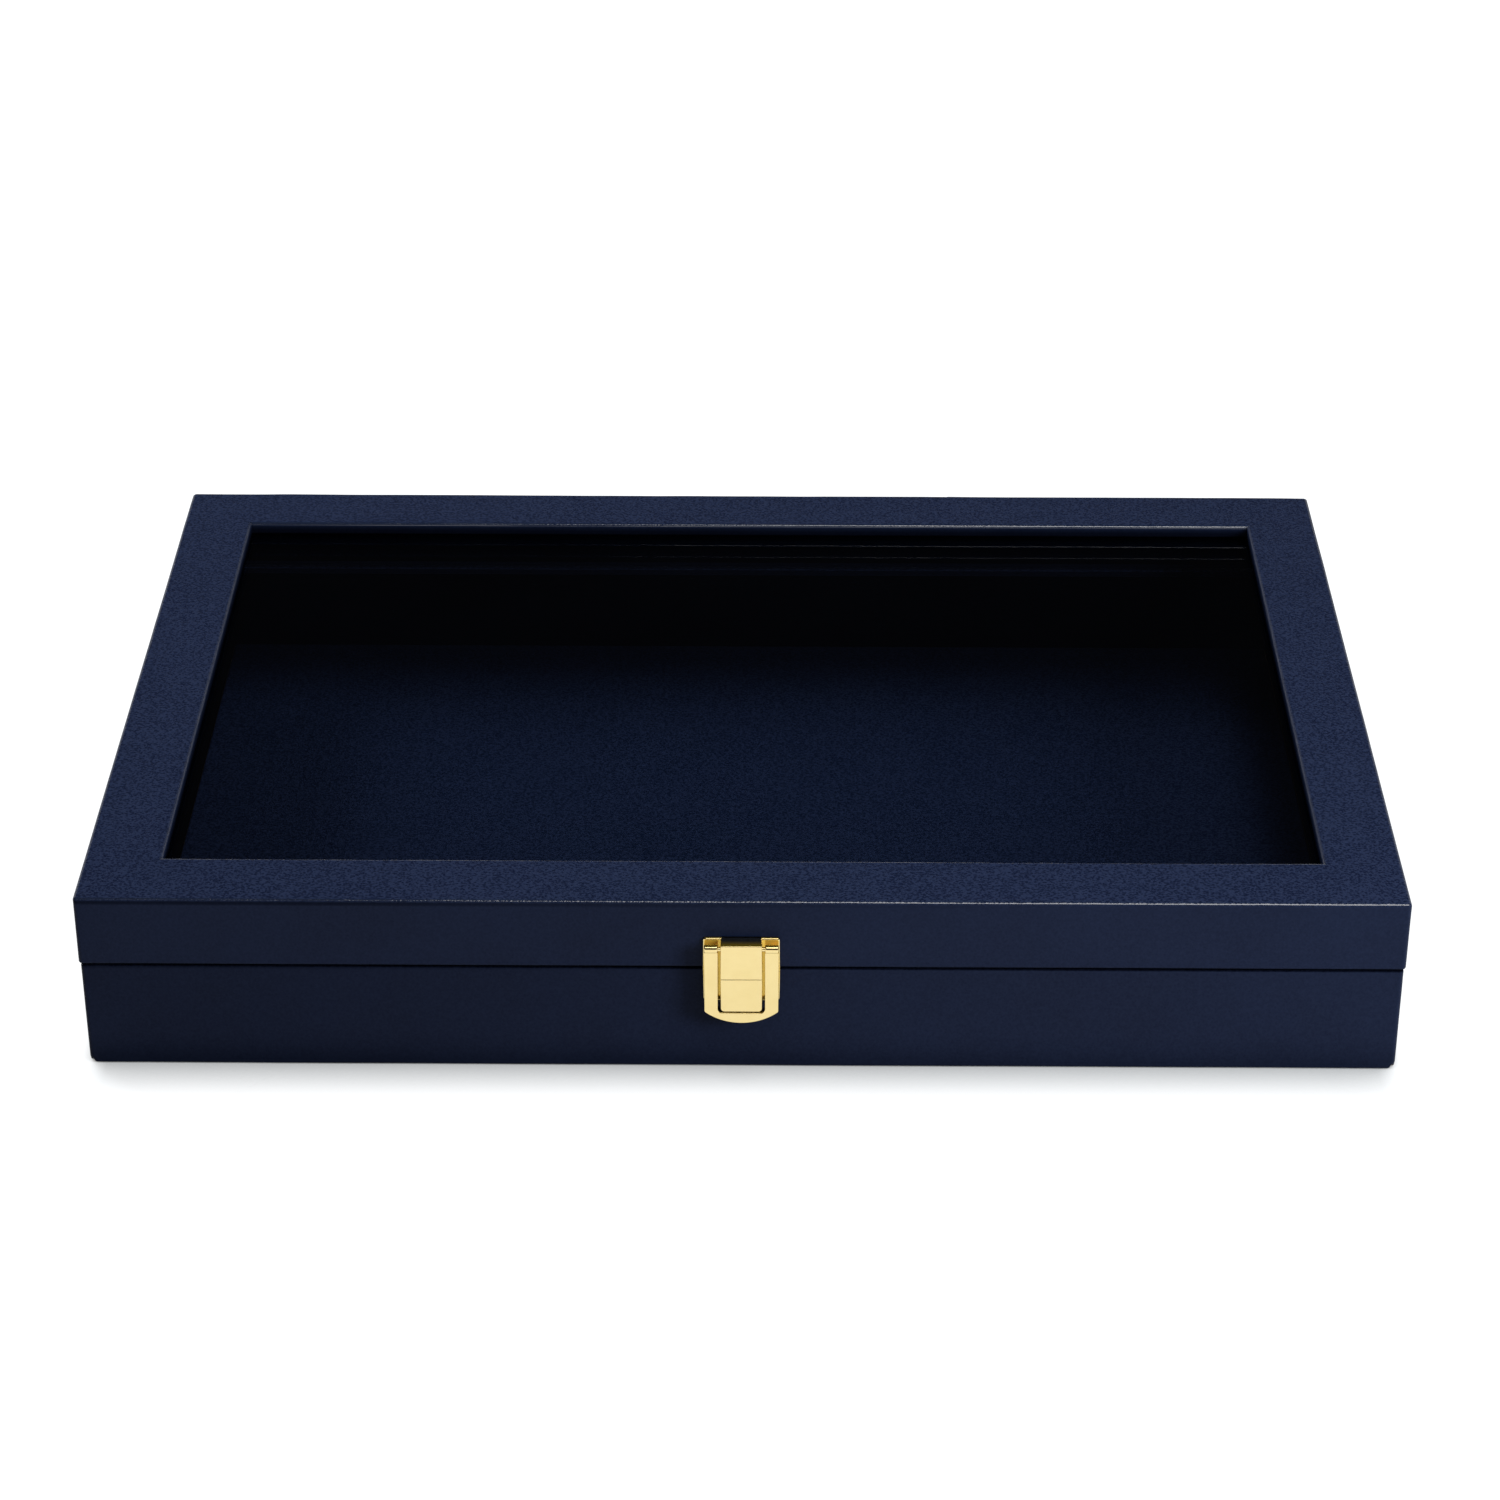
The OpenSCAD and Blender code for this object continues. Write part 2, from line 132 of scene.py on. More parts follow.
# Roundings of the clasp's stamped corners (_R_MM) and edges (_ROUND_MM)
PLATE_ROUND_MM = 0.5
PLATE_SPLIT_R_MM = 0.2
PLATE_SPLIT_ROUND_MM = 0.15
BLOCK_TOP_R_MM = 0.3
BLOCK_BOTTOM_R_MM = 1.0
BLOCK_ROUND_MM = 0.3
BLOCK_SPLIT_ROUND_MM = 0.05
FLAP_SHOULDER_R_MM = 0.8
FLAP_ROUND_MM = 0.35
SLOT_ROUND_MM = 0.25
LEG_TOP_R_MM = 0.1
LEG_TOP_ROUND_MM = 0.05
LEG_DROP_MM = 0.66
BARREL_ROUND_MM = 0.35
CLASP_CORNER_PARTS = 8
CLASP_EDGE_PARTS = 5
FLAP_CURVE_PARTS = 48
FLAP_SHOULDER_PARTS = 3
BARREL_SIDES = 40

# Roundings of the copies of CAD nodes. Angles are in degrees.
LINING_ROUND_MM = 0.3
BEAD_ROUND_MM = 0.35
SHEET_ROUND_MM = 0.12
PANE_ROUND_MM = 0.2
LEAF_ROUND_MM = 0.15
PIN_ROUND_MM = 0.1
ROUNDING_PARTS = 3
ROUNDED_ANGLE = 40
MERGE_MM = 0.002
FLAT_ANGLE = 0.6

# Unevenness of the glued leatherette. A place faces back or down where its normal passes FACING.
# The two START places are where the wave patterns are read from.
FACING = 0.9
SLOW_WAVE_MM = 34
SLOW_HEIGHT_MM = 0.06
SLOW_START = Vector((3.1, 7.7, 1.3))
FAST_WAVE_MM = 9
FAST_HEIGHT_MM = 0.03
FAST_START = Vector((9.2, 0.4, 5.8))
LAP_X_MM = 62
LAP_W_MM = 14
LAP_HEIGHT_MM = 0.22
LAP_RISE_MM = 0.3
LAP_STATIONS_MM = (-0.4, -0.02, LAP_RISE_MM, 0.8, LAP_W_MM / 2, LAP_W_MM)
BOTTOM_CORNER_R_MM = 1.8
BOTTOM_CORNER_BLEND = 0.6
CREASE_MM = 0.22

# Foot of the base, where the leatherette bulges down beside the underside sheet
FOOT_START_MM = 3.4
FOOT_FULL_MM = 2.6
FOOT_Z_MM = 0.1
FOOT_R_MM = 0.4

# Floor board: soft edges, a slight crown and slow waves
FLOOR_EDGE_R_MM = 0.45
FLOOR_CROWN_MM = 0.12
FLOOR_CROWN_REACH_MM = 30
FLOOR_WAVE_MM = 26
FLOOR_WAVE_HEIGHT_MM = 0.05

# Painted shade on the leatherette. Depths are measured down from the top of a covering.
PAINTED_SHADE_COLOUR = (0.0008, 0.0011, 0.0024)
PAINTED_SHADE_STRENGTH = 0.85
OUTER_REACH_MM = 1.2
INNER_REACH_MM = 0.1
INNER_SHADE = 0.75
UNLIT_X_MM = -140
UNLIT_FADE_MM = 260
UNDER_SHADE = 0.7
BASE_SEAM_MM = 0.15
BASE_SEAM_FADE_MM = 0.5
BASE_UNDER_MM = 2.2
BASE_SHADE = 0.09
BASE_UNLIT_SHADE = 0.24
FOOT_SHADE = 0.3
FOOT_SHADE_MM = 9
LID_EDGE_MM = 0.45
LID_EDGE_FADE_MM = 0.4
LID_UNDER_MM = 1.3
LID_UNDER_FADE_MM = 0.9
LID_UNLIT_SHADE = 0.14
REVEAL_MM = 0.4
REVEAL_FADE_MM = 1.7
FLOOR_SHADE = 0.95
FLOOR_BACK_MM = 6
FLOOR_BACK_FADE_MM = 38
FLOOR_RIGHT_MM = 3
FLOOR_RIGHT_FADE_MM = 18

# Polish and painted highlight along the stretched edges, by the tilt of the surface from level in degrees
EDGE_REACH = 42
WINDOW_EDGE_REACH = 76
CREST_START = 8
CREST_END = 14
SIDE_WEAR_AND_HIGHLIGHT = 0.2
EDGE_SPECULAR = 1.4
EDGE_POLISH = 0.26

# Grain of the leatherette. A face counts as upright or level by the size of its normal's Z part.
PEBBLE_MM = 0.72
WRINKLE_MM = 1.15
MOTTLING_MM = 22
EDGE_PATCH_MM = 6
GRAIN_CONTRAST = 2.6
UPRIGHT = 0.3
LEVEL = 0.9
UPRIGHT_GRAIN = 0.14
UPRIGHT_GLOSS = 0.06

# Plating, with a deeper gold painted as reflection where it looks up and as shade where it lies behind the
# flap
PLATING_METALLIC = 0.985
UPWARD_REFLECTION_COLOUR = (1.0, 0.64, 0.03)
UPWARD_MATT = 0.08
RECESS_SHADE_COLOUR = (1.0, 0.63, 0.03)
RECESS_MATT = 0.6
RECESS_START = -0.1232
RECESS_DEPTH = 0.0015
RECESS_SHADE_SHARE = 0.8

# Clear pane
PANE_TINTS = ((0.0, 0.0, 0.0005), (0.0004, 0.0008, 0.002))
PANE_IOR = 1.8
PANE_ALPHA = 0.3

# Stage floor, and the contact shade in front of the case
STAGE_Z = -0.0001
STAGE_HALF = 15
STAGE_COLOUR = (0.18, 0.20, 0.215)
STAGE_BOUNCE = (0.12, 0.12, 0.12)
STAGE_LIFT = 0.975
STAGE_MIRRORED = 0.80
CONTACT_SAMPLES = 12
CONTACT_REACH = 0.018
CONTACT_DEPTH = 1.45
CONTACT_HALF_LENGTH = 0.17
CONTACT_FADE = 0.008
CONTACT_FACING = (0, 0.95, 0.31)

# Surroundings. Mirror images show them white near the horizon and dark overhead.
AMBIENT = 0.2
WHITE_UP_TO = 0.12
DARK_FROM = 0.34
OVERHEAD = 0.009

# Lamps, as (name, place, target, size, watts, whether mirror images show it)
LAMPS = (
    ("top_lamp", (0.28, -0.35, 1.0), (0.07, -0.1, 0.03), (0.74, 0.45), 3.65, True),
    ("right_lamp", (0.62, -0.55, 0.38), (0.1, -0.1, 0.03), (0.3, 0.3), 5.3, False),
    ("left_back_lamp", (-0.8, 0.75, 0.7), (-0.15, 0.1, 0.05), (0.5, 0.5), 12.6, False),
)


def make_camera():
    """Camera at the photograph's place and angle."""
    yaw, pitch, roll = (math.radians(a) for a in (CAMERA_YAW, CAMERA_PITCH, CAMERA_ROLL))
    ahead = Vector((math.sin(yaw) * math.cos(pitch), math.cos(yaw) * math.cos(pitch), -math.sin(pitch)))
    level = Vector((math.cos(yaw), -math.sin(yaw), 0))
    right = level * math.cos(roll) + level.cross(ahead) * math.sin(roll)
    up = right.cross(ahead)
    data = bpy.data.cameras.new("camera")
    data.lens = LENS_MM
    data.sensor_width = SENSOR_MM
    data.clip_start = NEAR_CLIP
    data.clip_end = FAR_CLIP
    camera = bpy.data.objects.new("camera", data)
    scene.collection.objects.link(camera)
    turned = Matrix((right, up, -ahead)).transposed().to_4x4()
    camera.matrix_world = Matrix.Translation(CAMERA_PLACE) @ turned
    scene.camera = camera


# Node trees
def new_material(name):
    """A material with its node tree and its Principled shader."""
    material = bpy.data.materials.new(name)
    material.use_nodes = True
    return material, material.node_tree, material.node_tree.nodes["Principled BSDF"]


def add(tree, kind, settings=None, **inputs):
    """A node whose named inputs are values or other nodes' outputs. A _ in a name stands for a space."""
    made = tree.nodes.new("ShaderNode" + kind)
    for key, value in (settings or {}).items():
        setattr(made, key, value)
    set_up(tree, made, **inputs)
    return made


def set_up(tree, node, **inputs):
    """Sets a node's named inputs to values or to other nodes' outputs."""
    for key, value in inputs.items():
        plug(tree, node.inputs[key.replace("_", " ")], value)


def plug(tree, socket, value):
    if isinstance(value, bpy.types.NodeSocket):
        tree.links.new(value, socket)
    else:
        socket.default_value = value


def maths(tree, operation, a, b):
    made = tree.nodes.new("ShaderNodeMath")
    made.operation = operation
    plug(tree, made.inputs[0], a)
    plug(tree, made.inputs[1], b)
    return made.outputs[0]


def blend_colours(tree, factor, a, b):
    made = tree.nodes.new("ShaderNodeMix")
    made.data_type = "RGBA"
    plug(tree, made.inputs[0], factor)
    plug(tree, made.inputs[6], a)
    plug(tree, made.inputs[7], b)
    return made.outputs[2]


def remap(tree, value, low, high, to_low, to_high):
    made = add(tree, "MapRange", Value=value, From_Min=low, From_Max=high, To_Min=to_low, To_Max=to_high)
    return made.outputs["Result"]


def object_place(tree, stretch=(1, 1, 1), turn=(0, 0, 0)):
    """Object coordinates, stretched and turned. A stretch above 1 makes a pattern finer."""
    coordinates = add(tree, "TexCoord").outputs["Object"]
    return add(tree, "Mapping", Vector=coordinates, Scale=stretch, Rotation=turn).outputs["Vector"]


def object_normal(tree):
    """The X, Y and Z parts of the normal in object coordinates."""
    return add(tree, "SeparateXYZ", Vector=add(tree, "TexCoord").outputs["Normal"]).outputs


def noise_at(tree, place, size_mm, detail=2.0, roughness=0.5):
    made = add(
        tree, "TexNoise", Vector=place, Scale=1 / (size_mm * MM), Detail=detail, Roughness=roughness)
    return made.outputs["Fac"]


def bump(tree, height, depth_mm, strength, normal=None):
    made = add(tree, "Bump", Height=height, Distance=depth_mm * MM, Strength=strength)
    if normal is not None:
        tree.links.new(normal, made.inputs["Normal"])
    return made.outputs["Normal"]


def attribute(tree, name):
    return add(tree, "Attribute", {"attribute_name": name}).outputs["Fac"]


def rgb(red, green, blue):
    return (red, green, blue, 1)


def leatherette(name, dark, light, edge, specular, roughness):
    """Fine-grained leatherette: pebbles, short slanted wrinkles, slow mottling and edges paler with wear
    and painted highlight.

    The grain is plain on level faces and faint on upright ones. The attribute edge marks stretched edges,
    where wear and painted highlight pale the colour and the gloss rises; a second attribute holds painted
    shade, which darkens it.
    """
    material, tree, shader = new_material(name)
    place = object_place(tree)
    slanted = object_place(tree, (1, 2.4, 1), (0, 0, math.radians(38)))
    level = maths(tree, "ABSOLUTE", object_normal(tree)["Z"], 0)
    grain_share = remap(tree, level, UPRIGHT, LEVEL, UPRIGHT_GRAIN, 1)
    cells = add(tree, "TexVoronoi", Vector=place, Scale=1 / (PEBBLE_MM * MM), Randomness=1)
    pebbles = cells.outputs["Distance"]
    wrinkles = noise_at(tree, slanted, WRINKLE_MM, 3, 0.6)
    mottling = noise_at(tree, place, MOTTLING_MM, 3, 0.55)
    grain = maths(tree, "ADD", maths(tree, "MULTIPLY", pebbles, 0.5), wrinkles)
    grain = maths(tree, "MULTIPLY", remap(tree, grain, 0.45, 1.0, -0.5, 0.5), grain_share)
    grain = maths(tree, "MULTIPLY", grain, GRAIN_CONTRAST)
    tone = maths(tree, "ADD", remap(tree, mottling, 0.3, 0.7, 0.35, 0.55), grain)
    colour = blend_colours(tree, tone, rgb(*dark), rgb(*light))
    # Stretched edges: wear and painted highlight pale the colour, patchily, and the gloss rises.
    wear_and_highlight = attribute(tree, "edge")
    patchiness = remap(tree, noise_at(tree, place, EDGE_PATCH_MM, 3, 0.6), 0.3, 0.7, 0.45, 1)
    colour = blend_colours(tree, maths(tree, "MULTIPLY", wear_and_highlight, patchiness), colour, rgb(*edge))
    # Painted shade: it darkens the colour and takes away the gloss.
    painted_shade = attribute(tree, "painted_shade")
    colour = blend_colours(tree, maths(tree, "MULTIPLY", painted_shade, PAINTED_SHADE_STRENGTH), colour, rgb(*PAINTED_SHADE_COLOUR))
    gloss = remap(tree, level, UPRIGHT, LEVEL, specular + UPRIGHT_GLOSS, specular)
    gloss = maths(tree, "ADD", gloss, maths(tree, "MULTIPLY", wear_and_highlight, EDGE_SPECULAR))
    sheen_spots = remap(tree, mottling, 0.3, 0.7, roughness - 0.05, roughness + 0.05)
    pebbled = bump(tree, pebbles, 0.08, maths(tree, "MULTIPLY", grain_share, 0.6))
    set_up(
        tree, shader, Base_Color=colour,
        Specular_IOR_Level=maths(tree, "MULTIPLY", gloss, maths(tree, "SUBTRACT", 1, painted_shade)),
        Roughness=maths(tree, "SUBTRACT", sheen_spots, maths(tree, "MULTIPLY", wear_and_highlight, EDGE_POLISH)),
        Normal=bump(tree, wrinkles, 0.08, maths(tree, "MULTIPLY", grain_share, 0.5), pebbled),
    )
    return material


def gilt(name, colour, shade, roughness):
    """Polished gold plating with faint cloudiness, hairline scratches and slightly darker spots."""
    material, tree, shader = new_material(name)
    place = object_place(tree)
    clouds = noise_at(tree, place, 5, 3, 0.55)
    hairlines = noise_at(tree, object_place(tree, (1, 1, 14), (0, math.radians(8), 0)), 1.6, 3, 0.6)
    facing = object_normal(tree)
    depth = add(tree, "SeparateXYZ", Vector=place).outputs["Y"]
    plating = blend_colours(tree, remap(tree, clouds, 0.35, 0.75, 0, 0.5), rgb(*colour), rgb(*shade))
    # Painted shade: plate faces that lie behind the flap turn a darker, browner gold and less metallic.
    behind = remap(tree, depth, RECESS_START, RECESS_START + RECESS_DEPTH, 0, RECESS_SHADE_SHARE)
    recessed = maths(tree, "MULTIPLY", behind, remap(tree, facing["Y"], -0.9, -0.99, 0, 1))
    plating = blend_colours(tree, recessed, plating, rgb(*RECESS_SHADE_COLOUR))
    # Painted reflection: faces that look up take a deeper, browner gold and are a little less metallic.
    upward = remap(tree, facing["Z"], 0.8, 1, 0, 1)
    recess_matt = maths(tree, "MULTIPLY", recessed, RECESS_MATT)
    matt = maths(tree, "ADD", recess_matt, maths(tree, "MULTIPLY", upward, UPWARD_MATT))
    set_up(
        tree, shader, Metallic=maths(tree, "SUBTRACT", PLATING_METALLIC, matt),
        Base_Color=blend_colours(tree, upward, plating, rgb(*UPWARD_REFLECTION_COLOUR)),
        Roughness=maths(
            tree, "ADD", remap(tree, clouds, 0.3, 0.7, roughness * 0.8, roughness * 1.2),
            remap(tree, hairlines, 0.5, 0.8, 0, 0.06)),
        Normal=bump(tree, hairlines, 0.004, 0.12, bump(tree, noise_at(tree, place, 2.4, 1), 0.01, 0.15)),
    )
    return material


def fibreboard(name, dark, light):
    """Pressed wood fibres, seen only where the covering doesn't reach."""
    material, tree, shader = new_material(name)
    place = object_place(tree)
    fibres = noise_at(tree, object_place(tree, (1, 7, 7), (0, 0, math.radians(12))), 3, 4, 0.65)
    specks = noise_at(tree, place, 0.4, 2)
    tone = maths(tree, "ADD", remap(tree, fibres, 0.3, 0.7, 0, 0.7), remap(tree, specks, 0.4, 0.7, 0, 0.3))
    set_up(
        tree, shader, Base_Color=blend_colours(tree, tone, rgb(*dark), rgb(*light)),
        Roughness=remap(tree, specks, 0.3, 0.7, 0.8, 0.95), Specular_IOR_Level=0.2,
        Normal=bump(tree, fibres, 0.08, 0.5),
    )
    return material


def felt(name, dark, light, fibre_mm, sheen, specular):
    """Short-napped cloth or velvet paper: tangled fibres with a soft sheen."""
    material, tree, shader = new_material(name)
    place = object_place(tree)
    tangle = noise_at(tree, object_place(tree, (1, 3, 1), (0, 0, math.radians(30))), fibre_mm, 4, 0.7)
    crossed = noise_at(tree, object_place(tree, (3, 1, 1), (0, 0, math.radians(-20))), fibre_mm, 4, 0.7)
    nap = maths(tree, "MULTIPLY", tangle, crossed)
    patches = noise_at(tree, place, 30, 2)
    tone = maths(tree, "ADD", remap(tree, nap, 0.12, 0.4, 0, 0.8), remap(tree, patches, 0.3, 0.7, 0, 0.2))
    set_up(
        tree, shader, Base_Color=blend_colours(tree, tone, rgb(*dark), rgb(*light)),
        Roughness=remap(tree, nap, 0.1, 0.4, 0.85, 1), Specular_IOR_Level=specular,
        Sheen_Weight=sheen, Sheen_Roughness=0.5, Normal=bump(tree, nap, 0.1, 0.6),
    )
    return material


def clear_pane(name):
    """Thin clear sheet: light passes straight through, and the surface mirrors a little."""
    material, tree, shader = new_material(name)
    place = object_place(tree)
    smears = noise_at(tree, place, 45, 3, 0.6)
    clear, smeared = PANE_TINTS
    set_up(
        tree, shader, Base_Color=blend_colours(tree, smears, rgb(*clear), rgb(*smeared)),
        Roughness=remap(tree, smears, 0.35, 0.75, 0.01, 0.05),
        IOR=PANE_IOR, Specular_IOR_Level=1, Alpha=PANE_ALPHA,
        Normal=bump(tree, noise_at(tree, place, 60, 1), 0.15, 0.15),
    )
    return material


def make_materials():
    """The finish of each material slot. Colours are linear."""
    return {
        # The edge colours are the paler tone that wear and painted highlight give to stretched edges.
        "leatherette": leatherette(
            "leatherette", dark=(0.0055, 0.0095, 0.0285), light=(0.0170, 0.0260, 0.0620),
            edge=(0.012, 0.020, 0.048), specular=0.022, roughness=0.42),
        # The floor board's leatherette has the same grain; its colours are painted light, raised to make up
        # for the light the pane holds back.
        "floor_leatherette": leatherette(
            "floor_leatherette", dark=(0.0066, 0.0165, 0.0550), light=(0.0250, 0.0435, 0.1150),
            edge=(0.01, 0.016, 0.034), specular=0.05, roughness=0.55),
        "dark_lining": felt(
            "dark_lining", dark=(0.0004, 0.0007, 0.0016), light=(0.0008, 0.0017, 0.0046),
            fibre_mm=0.5, sheen=0.0, specular=0.01),
        "board": fibreboard("board", dark=(0.20, 0.13, 0.07), light=(0.42, 0.30, 0.18)),
        "underside": felt(
            "underside", dark=(0.006, 0.006, 0.007), light=(0.022, 0.022, 0.025),
            fibre_mm=0.6, sheen=0.1, specular=0.1),
        "pane": clear_pane("pane"),
        "gold": gilt("gold", colour=(1.0, 0.80, 0.385), shade=(0.94, 0.725, 0.315), roughness=0.13),
        "hinge_brass": gilt(
            "hinge_brass", colour=(0.82, 0.66, 0.32), shade=(0.74, 0.56, 0.24), roughness=0.2),
    }


# Meshes
def new_piece(name, work, slot, body, node):
    """Puts a bmesh into a smooth-shaded piece that rides on a body and stands for a CAD node."""
    mesh = bpy.data.meshes.new(name)
    bmesh.ops.recalc_face_normals(work, faces=work.faces)
    work.to_mesh(mesh)
    work.free()
    mesh.polygons.foreach_set("use_smooth", [True] * len(mesh.polygons))
    mesh.materials.append(materials[slot])
    piece = bpy.data.objects.new(name, mesh)
    scene.collection.objects.link(piece)
    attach(piece, body)
    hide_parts(node)
    return piece


def flat_shading(piece):
    """Flat faces shade flat up to their rounded edges."""
    piece.modifiers.new("shading", "WEIGHTED_NORMAL").keep_sharp = True


def join_rings(work, rings, closed):
    """Faces from each ring of vertices to the next, and from the last to the first if closed."""
    following = rings[1:] + rings[:1] if closed else rings[1:]
    for ring, after in zip(rings, following):
        for k in range(len(ring)):
            m = (k + 1) % len(ring)
            work.faces.new((ring[k], after[k], after[m], ring[m]))


def smooth_step(value):
    value = min(1, max(0, value))
    return value * value * (3 - 2 * value)


def section_outline(corners):
    """Points of a closed cross-section, as (place, normal, edge, free, painted shade).

    A corner is (outward, height, radius, edge, free, painted shade). Edge is the last tilt that the polish
    and the painted highlight of a stretched rounding reach. Free is 0 where the leatherette is glued to a
    board or pressed on the pane. The painted shade is 1 where shade is painted darkest. Free and painted
    shade change evenly between corners.
    """
    points = []
    places = [Vector(c[:2]) for c in corners]
    turn = sum(a.cross(b) for a, b in zip(places, places[1:] + places[:1]))
    side = -1 if turn > 0 else 1
    for i, (_, _, radius, edge, free, painted_shade) in enumerate(corners):
        here, after = places[i], places[(i + 1) % len(corners)]
        back = (places[i - 1] - here).normalized()
        ahead = (after - here).normalized()
        if radius:
            for part in range(ARC_PARTS + 1):
                angle = math.radians(90 * part / ARC_PARTS)
                normal = -(ahead * math.cos(angle) + back * math.sin(angle))
                place = here + (back + ahead + normal) * radius
                points.append((place, normal, crest(normal.y, edge), free, painted_shade))
        else:
            normal = Vector((-ahead.y, ahead.x)) * side
            points.append((here, normal, 0, free, painted_shade))
        _, _, next_radius, _, next_free, next_painted_shade = corners[(i + 1) % len(corners)]
        start, length = here + ahead * radius, (after - here).length - radius - next_radius
        normal = Vector((-ahead.y, ahead.x)) * side
        for distance in along_straight(length, SECTION_STEP_MM, SECTION_END_STEPS_MM):
            share = distance / length
            mixed = (free + (next_free - free) * share, painted_shade + (next_painted_shade - painted_shade) * share)
            points.append((start + ahead * distance, normal, 0, *mixed))
    return points


def crest(upward, reach):
    """Polish and painted highlight where a rounding's normal has this upward part. Reach is their last
    tilt.
    """
    if not reach:
        return 0
    tilt = math.degrees(math.acos(min(1, max(-1, upward))))
    return smooth_step(tilt / CREST_START) * (1 - smooth_step((tilt - reach) / CREST_END))


def along_straight(length, step, end_steps):
    """Distances inside a straight, closer together near its two ends."""
    near = [d for d in end_steps if d < length / 2 - step / 8]
    if not near:
        return []
    middle = length - 2 * near[-1]
    count = max(1, round(middle / step))
    inner = [near[-1] + middle * k / count for k in range(1, count)]
    return near + inner + [length - d for d in reversed(near)]


def stations(half, extra_on_back):
    """Places round a rounded rectangle, as (side, share along the side or None, share of the corner)."""
    found = []
    for side in range(4):
        length = 2 * (half[(side + 1) % 2] - CORNER_R_MM)
        distances = [0] + along_straight(length, SIDE_STEP_MM, END_STEPS_MM) + [length]
        if side == 1:
            distances = sorted(distances + [length / 2 - x for x in extra_on_back])
        found += [(side, distance / length, None) for distance in distances]
        found += [(side, None, part / CORNER_PARTS) for part in range(1, CORNER_PARTS)]
    return found


def station_place(station, half, outward):
    """Plan position and outward direction of a station, for the outline at a distance outward."""
    side, share, corner = station
    out = Vector((math.cos(math.pi / 2 * side), math.sin(math.pi / 2 * side)))
    along = Vector((-out.y, out.x))
    half_out, half_along = half[side % 2] + outward, half[(side + 1) % 2] + outward
    radius = max(CORNER_R_MM + outward, INNER_CORNER_R_MM)
    if share is not None:
        return out * half_out + along * (half_along - radius) * (2 * share - 1), out
    angle = math.pi / 2 * corner
    direction = out * math.cos(angle) + along * math.sin(angle)
    return out * (half_out - radius) + along * (half_along - radius) + direction * radius, direction


def unevenness(place_mm):
    """Height of the leatherette's soft waves at a place, from about -1 to 0 times their size."""
    slow = noise.noise(place_mm / SLOW_WAVE_MM + SLOW_START)
    fast = noise.noise(place_mm / FAST_WAVE_MM + FAST_START)
    return slow * SLOW_HEIGHT_MM + fast * FAST_HEIGHT_MM - (SLOW_HEIGHT_MM + FAST_HEIGHT_MM) / 2


def unlit(x_mm):
    """How little the lamp over the right half lights the front: 1 at the far left, 0 on the right."""
    return 1 - smooth_step((x_mm - UNLIT_X_MM) / UNLIT_FADE_MM)


def outer_share(place):
    """1 on the outer face of a covering, and 0 where it has turned over the rim or in underneath."""
    return 1 - smooth_step((-place.x - OUTER_REACH_MM) / OUTER_REACH_MM)


def lap_height(place_mm, direction):
    """Raised strip on the back, where the end of the leatherette laps over its beginning."""
    if direction.y < FACING:
        return 0
    inside = place_mm.x - LAP_X_MM
    if inside < 0 or inside > LAP_W_MM:
        return 0
    return LAP_HEIGHT_MM * min(1, inside / LAP_RISE_MM) * (1 - smooth_step(inside / LAP_W_MM))


def soften_corner(place, corner, radius):
    """Pulls a place near a bottom corner of the case onto a ball, as folded leatherette rounds it off."""
    inward = Vector((-math.copysign(1, corner.x), -math.copysign(1, corner.y), 1))
    centre = corner + inward * radius
    away = place - centre
    reach = [-a * i for a, i in zip(away, inward)]
    if min(reach) <= 0 or away.length <= radius:
        return place
    share = smooth_step(min(reach) / (radius * BOTTOM_CORNER_BLEND))
    return place - away.normalized() * (away.length - radius) * share


def wrap(name, node, body, corners, shape, shade):
    """Sweeps a cross-section round the case and gives the leatherette its unevenness, folds and shade."""
    low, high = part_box(node)
    half = [(high.x - low.x) / 2 / MM, (high.y - low.y) / 2 / MM]
    outline = section_outline(corners)
    work = bmesh.new()
    # Vertex layer for wear and painted highlight on stretched edges.
    wear_and_highlight = work.verts.layers.float.new("edge")
    # Vertex layer for the painted shade.
    shaded = work.verts.layers.float.new("painted_shade")
    rows = []
    for station in stations(half, [LAP_X_MM + x for x in LAP_STATIONS_MM]):
        corner_share = 0 if station[2] is None else math.sin(math.pi * station[2])
        row = []
        for place, normal, edge, free, painted_shade in outline:
            plan, direction = station_place(station, half, place.x)
            point = Vector((plan.x, plan.y, place.y))
            facing = Vector((direction.x * normal.x, direction.y * normal.x, normal.y))
            lift = unevenness(point) * (1 + edge) + lap_height(point, direction) * max(0, normal.x)
            point = shape(point + facing * lift * free, facing, corner_share, place, half)
            vertex = work.verts.new(point * MM)
            # Wear and painted highlight, weaker on the edges that run front to back.
            vertex[wear_and_highlight] = edge * (SIDE_WEAR_AND_HIGHLIGHT + (1 - SIDE_WEAR_AND_HIGHLIGHT) * abs(direction.y))
            # Painted shade from the cross-section and from the covering's shade function.
            vertex[shaded] = max(painted_shade, shade(place, point.x))
            row.append(vertex)
        rows.append(row)
    join_rings(work, rows, closed=True)
    new_piece(name, work, "leatherette", body, node)


